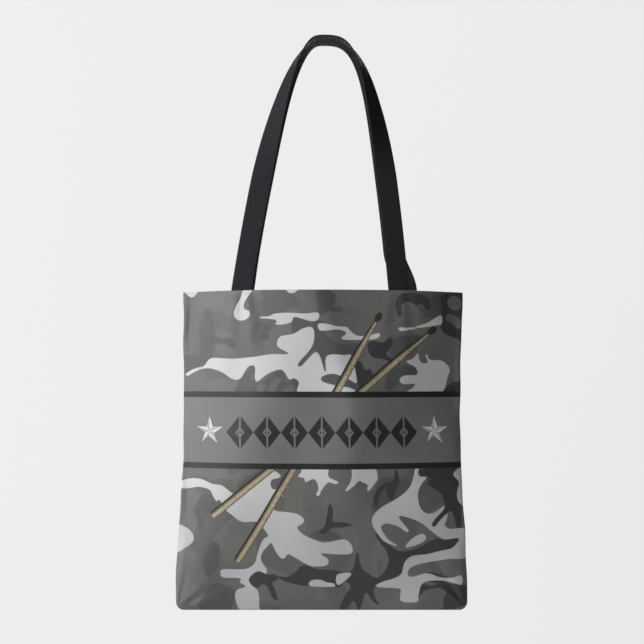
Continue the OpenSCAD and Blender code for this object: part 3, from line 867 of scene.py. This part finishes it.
def make_handle(word, facing):
    """One length of webbing: up from inside the hem, over the hook, and down again."""
    left, right = feet(word)

    def web_depth(x, drop):
        return depth(x, drop, facing) + CLOTH_T / 2 - WEB_INSET - WEB_T / 2

    def middle(r):
        a = np.abs(r)
        drop = RISE * a ** (RING_POWER / np.where(r < 0, LEFT_LEG_POWER, RIGHT_LEG_POWER))
        rest = 1 - smooth(0, TWIST_DROP / 2, drop)
        foot_x = (left + right) / 2 + np.sign(r) * (right - left) / 2
        step = foot_x - FRONT_SHIFT - np.sign(r) * LEG_X
        foot_y = np.where(r < 0, web_depth(left, 0), web_depth(right, 0))
        return np.stack([
            FRONT_SHIFT + np.sign(r) * LEG_X * a ** RING_POWER + step * smooth(FOOT_DROP, RISE, drop),
            facing * (HOOK_HALF_GAP + (foot_y - HOOK_HALF_GAP) * drop / RISE),
            -drop + WEB_T / 2 - facing * HOOK_HALF_GAP * math.tan(HOOK_TILT) * rest,
        ], -1)

    r = np.linspace(-1, 1, 2 * HALF_STEPS + 1)
    line = middle(r)
    along = unit(np.gradient(line, axis=0))
    outward = unit(np.stack([-along[:, 2], 0 * r, along[:, 0]], 1))
    backward = np.cross(outward, along)
    twist = np.clip(-line[:, 2] / TWIST_DROP, 0, 1) ** TWIST_POWER
    turn = HOOK_TILT + (facing * BASE_TURN - HOOK_TILT) * twist
    face = np.cos(turn)[:, None] * outward + np.sin(turn)[:, None] * backward
    side = np.cross(face, along)
    # The sewn ends go on down inside the hem, along the panel
    ends = []
    for x, upright in ((left, 1.0), (right, -1.0)):
        drops = np.linspace(2 * MM, SEWN_L, END_STEPS)
        y = web_depth(x, drops)
        slope = (depth(x + 5 * MM, drops, facing) - depth(x - 5 * MM, drops, facing)) / (10 * MM)
        place = np.stack([np.full(END_STEPS, x), facing * y, MOUTH_Z - drops], 1)
        out = unit(np.stack([-slope, np.full(END_STEPS, facing), np.zeros(END_STEPS)], 1))
        ends.append((place, out, np.cross(out, [[0, 0, upright]] * END_STEPS)))
    (lp, lf, ls), (rp, rf, rs) = ends
    line = np.concatenate([lp[::-1], line, rp])
    face = np.concatenate([lf[::-1], face, rf])
    side = np.concatenate([ls[::-1], side, rs])

    # Rounded section: flat faces and soft selvedges
    corner = WEB_T * 0.42
    quarter = np.linspace(0, math.pi / 2, 4)
    arc = np.stack([WEB_W / 2 + corner * (np.sin(quarter) - 1), WEB_T / 2 + corner * (np.cos(quarter) - 1)], 1)
    flat = np.linspace(-(WEB_W / 2 - corner), WEB_W / 2 - corner, 7)[1:-1]
    top = [(-a, b) for a, b in arc[::-1]] + [(a, WEB_T / 2) for a in flat] + [tuple(p) for p in arc]
    section = np.array(top + [(a, -b) for a, b in top[::-1]])
    rings = line[:, None] + side[:, None] * section[None, :, :1] + face[:, None] * section[None, :, 1:]
    rows, cols = rings.shape[:2]
    faces = grid_faces(rows, cols, closed=True) + end_caps(rows, cols)
    handle = make_object(f"{word}_handle_webbing", rings.reshape(-1, 3), faces, [WEBBING])
    length = np.concatenate([[0], np.cumsum(np.linalg.norm(np.diff(line, axis=0), axis=1))])
    uv = np.stack(np.broadcast_arrays(section[:, 0], length[:, None]), -1)
    set_uv(handle.data, "web", uv.reshape(-1, 2))
    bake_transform(handle)
    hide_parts(f"{word}_handle", f"{word}_left_handle_end", f"{word}_right_handle_end")


make_handle("front", -1)
make_handle("back", 1)

# ---------------------------------------------------------------- seams and stitches


TUBE_SIDES, TIP_SHARE = 5, 0.35
TUBE_LEAN = (0.31, 0.83, 0.46)


def tube(points, radius):
    """Vertices and faces of a closed tube along the points, which narrows at both tips."""
    points = np.asarray(points)
    along = unit(np.gradient(points, axis=0))
    first = unit(np.cross(along, TUBE_LEAN))
    second = np.cross(along, first)
    turn = 2 * math.pi * np.arange(TUBE_SIDES) / TUBE_SIDES
    width = np.full(len(points), radius)
    width[[0, -1]] = radius * TIP_SHARE
    ring = first[:, None] * np.cos(turn)[None, :, None] + second[:, None] * np.sin(turn)[None, :, None]
    ring = points[:, None] + ring * width[:, None, None]
    faces = grid_faces(len(points), TUBE_SIDES, closed=True) + end_caps(len(points), TUBE_SIDES)
    return ring.reshape(-1, 3), [face[::-1] for face in faces]


def make_threads(name, paths, radius, material):
    """One piece made of a tube along each path."""
    points, faces = [], []
    for path in paths:
        ring, rim = tube(path, radius)
        offset = sum(len(p) for p in points)
        points.append(ring)
        faces += [tuple(i + offset for i in face) for face in rim]
    piece = make_object(name, np.concatenate(points), faces, [material])
    return piece


THREAD_R = 0.16 * MM
STITCH_L, STITCH_PITCH = 3.0 * MM, 4.2 * MM
# Height of a stitch over the cloth, from one needle hole to the next
STITCH_DIP = np.array([-0.45, 0.02, 0.12, 0.12, 0.02, -0.45]) * MM


def on_panel(x, drop, lift, facing):
    """A place at a height over the middle of a panel's cloth."""
    return np.stack([x, facing * (depth(x, drop, facing) + lift), MOUTH_Z - drop - droop(x, drop)], -1)


def stitch_row(start, end, lift, outward, facing):
    """Stitches between two places (across, drop), each dipping into the cloth at both ends."""
    run = np.array(end) - np.array(start)
    length = np.hypot(*run)
    count = int(length // STITCH_PITCH)
    share = np.linspace(-STITCH_L, STITCH_L, len(STITCH_DIP))[:, None] / 2
    stitches = []
    for i in range(count):
        place = np.array(start) + run * (i + 0.5) / count + run / length * share
        stitches.append(on_panel(place[:, 0], place[:, 1], lift + outward * STITCH_DIP, facing))
    return stitches


def make_hem_stitching(word, facing):
    """The row that holds the turned-in hem, on the outside and on the inside."""
    drop = MOUTH_Z - STITCH_Z
    reach = half_width(drop) - 6 * MM
    row = ((-reach, drop), (reach, drop))
    outside = stitch_row(*row, CLOTH_T / 2, 1, facing)
    inside = stitch_row(*row, -LAYER - CLOTH_T / 2, -1, facing)
    piece = make_threads(f"{word}_hem_stitches", outside + inside, THREAD_R, THREAD)
    bend_with_panel(piece)
    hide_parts(f"{word}_hem_stitching")


def make_tack(word, side, x, facing):
    """A box with a cross in it, sewn through the end of a handle."""
    half, top, low = WEB_W / 2 - 2.5 * MM, 4 * MM, SEWN_L - 3 * MM
    corners = [(x - half, top), (x + half, top), (x + half, low), (x - half, low)]
    lines = [(corners[i], corners[(i + 1) % 4]) for i in range(4)]
    lines += [(corners[0], corners[2]), (corners[3], corners[1])]
    lift = CLOTH_T / 2 - WEB_INSET - WEB_T
    paths = [path for a, b in lines for path in stitch_row(a, b, lift, -1, facing)]
    piece = make_threads(f"{word}_{side}_tack_stitches", paths, THREAD_R, THREAD)
    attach(piece, f"{word}_panel")
    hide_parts(f"{word}_{side}_tack")


SEAM_IN, SEAM_OUT = 10 * MM, 1.2 * MM
SEAM_HALF_T = 0.7 * MM
SEAM_END = 12 * MM
# Half of the allowance's section: (share of its width, share of its half thickness)
SEAM_SIDE = [(0, 1), (0.33, 1), (0.66, 1), (1, 0.9)]


def seam_ripple(run):
    """How far the seam allowance waves to and fro along its run."""
    return 0.12 * MM * np.sin(run / (7 * MM)) + 0.08 * MM * np.sin(run / (2.7 * MM))


def make_allowance(word, edge_at, inward, runs, node):
    """The turned-in edges of both panels, side by side, along a seam."""
    section = np.array([(a, -b) for a, b in SEAM_SIDE] + SEAM_SIDE[::-1])
    width = SEAM_OUT + (SEAM_IN - SEAM_OUT) * section[:, 0]
    rings = []
    for run in runs:
        side = section[:, 1] * SEAM_HALF_T + seam_ripple(run)
        rings.append(edge_at(run) + width[:, None] * inward + np.outer(side, (0, 1, 0)))
    rows, cols = len(rings), len(section)
    place = np.concatenate(rings)
    faces = grid_faces(rows, cols, closed=True) + end_caps(rows, cols)
    piece = make_object(f"{word}_seam_allowance", place, faces, [SEAM_CLOTH])
    set_uv(piece.data, "cloth", np.stack([place[:, 0] + place[:, 1], place[:, 2]], 1))
    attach(piece, "bag")
    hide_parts(node)


LOOP_PITCH, LOOP_R = 2.4 * MM, 0.2 * MM
LOOP_STEPS = 9
LOOP_SET_BACK, LOOP_REACH, LOOP_SIDE = 0.9 * MM, 1.5 * MM, 0.95 * MM


def make_overlock(word, edge_at, inward, start, end):
    """Thread looped over the raw edge of a seam allowance."""
    loops = int((end - start) // LOOP_PITCH)
    turn = 2 * math.pi * np.arange(loops * LOOP_STEPS + 1) / LOOP_STEPS
    runs = start + (end - start) * turn / turn[-1]
    base = np.array([edge_at(run) for run in runs])
    reach = SEAM_IN - LOOP_SET_BACK + LOOP_REACH * np.cos(turn)
    side = LOOP_SIDE * np.sin(turn)
    path = base + reach[:, None] * inward + np.outer(side + seam_ripple(runs), (0, 1, 0))
    piece = make_threads(f"{word}_overlock_thread", [path], LOOP_R, OVERLOCK)
    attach(piece, "bag")
    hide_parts(f"{word}_overlock")


def side_edge(side):
    def place(drop):
        x, z = seam_shift(drop) + side * visible_half(drop), MOUTH_Z - drop - droop(side * BAG_W, drop)
        return np.array([x, 0, z])

    return place


def bottom_edge(x):
    return np.array([x, 0.0, MOUTH_Z - BAG_H])


SEAM_CLOTH = seam_cloth()
low_drop = BAG_H - SEAM_END
for side, word in ((-1, "left"), (1, "right")):
    edge_at, inward = side_edge(side), np.array([-side, 0, 0])
    make_allowance(word, edge_at, inward, np.linspace(1.5 * MM, low_drop, 130), f"{word}_side_seam")
    make_overlock(word, edge_at, inward, 2 * MM, low_drop)
reach, up = half_width(BAG_H) - 1 * MM, np.array([0, 0, 1])
make_allowance("bottom", bottom_edge, up, np.linspace(-reach, reach, 120), "bottom_seam")
make_overlock("bottom", bottom_edge, up, SEAM_END - reach, reach - SEAM_END)

for word, facing in (("front", -1), ("back", 1)):
    make_hem_stitching(word, facing)
    for side, x in zip(("left", "right"), feet(word)):
        make_tack(word, side, x, facing)
